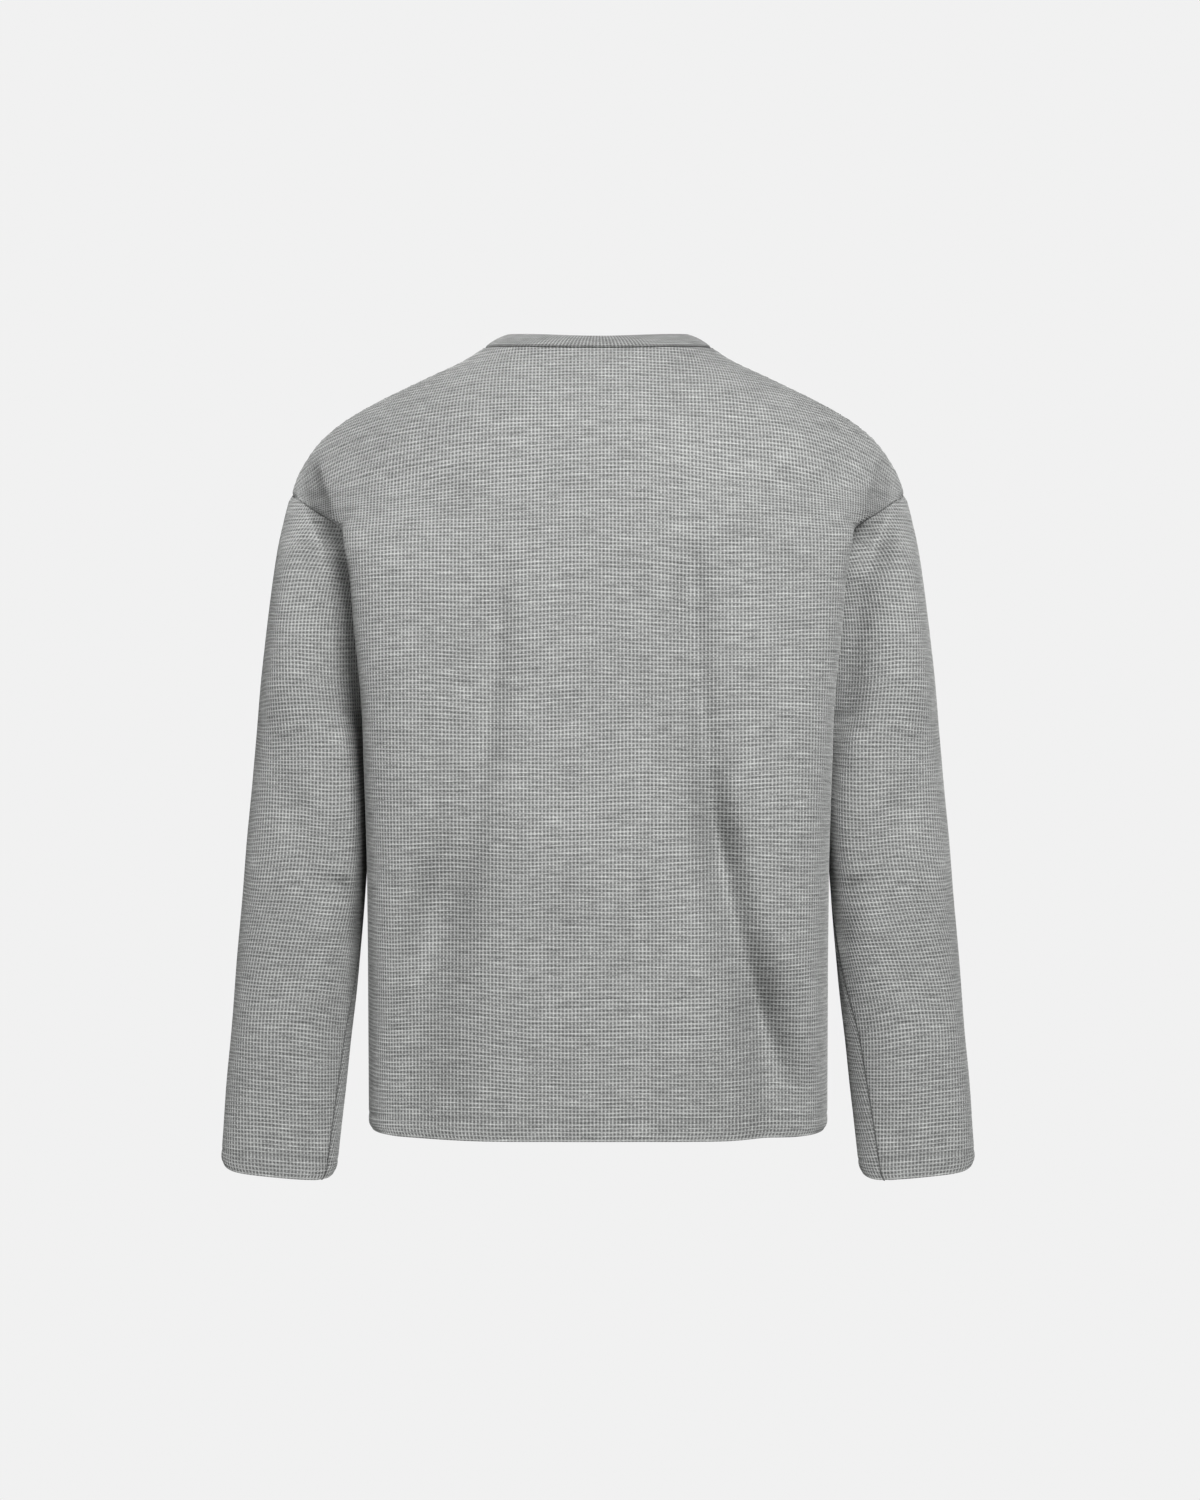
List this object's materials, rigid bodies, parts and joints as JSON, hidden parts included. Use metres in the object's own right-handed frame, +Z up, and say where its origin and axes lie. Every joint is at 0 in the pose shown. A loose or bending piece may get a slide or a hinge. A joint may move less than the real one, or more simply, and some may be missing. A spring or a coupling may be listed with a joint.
{
  "type": "thermal top",
  "caption": "Boxy long-sleeved crew-neck thermal top of grey marl waffle knit with dropped shoulders, standing hollow and open as if worn",
  "frame": {"origin": "midway between the two shoulder neck points, where the neck seam meets the shoulder seams and the wearer's shoulders carry the garment", "axes": "+Z up along the body, +Y out of the back, the front faces -Y, +X to the wearer's left"},
  "size_m": [0.649, 0.2627, 0.7253],
  "materials": {
    "waffle_knit": "grey marl cotton waffle knit, matt, with small square cells",
    "band_knit": "grey marl fine rib knit, matt, smoother than the body"
  },
  "bodies": {
    "root": {"back": "waffle_knit", "front": "waffle_knit", "sleeve_left": "waffle_knit", "sleeve_right": "waffle_knit", "neckband": "band_knit"}
  },
  "joints": []
}
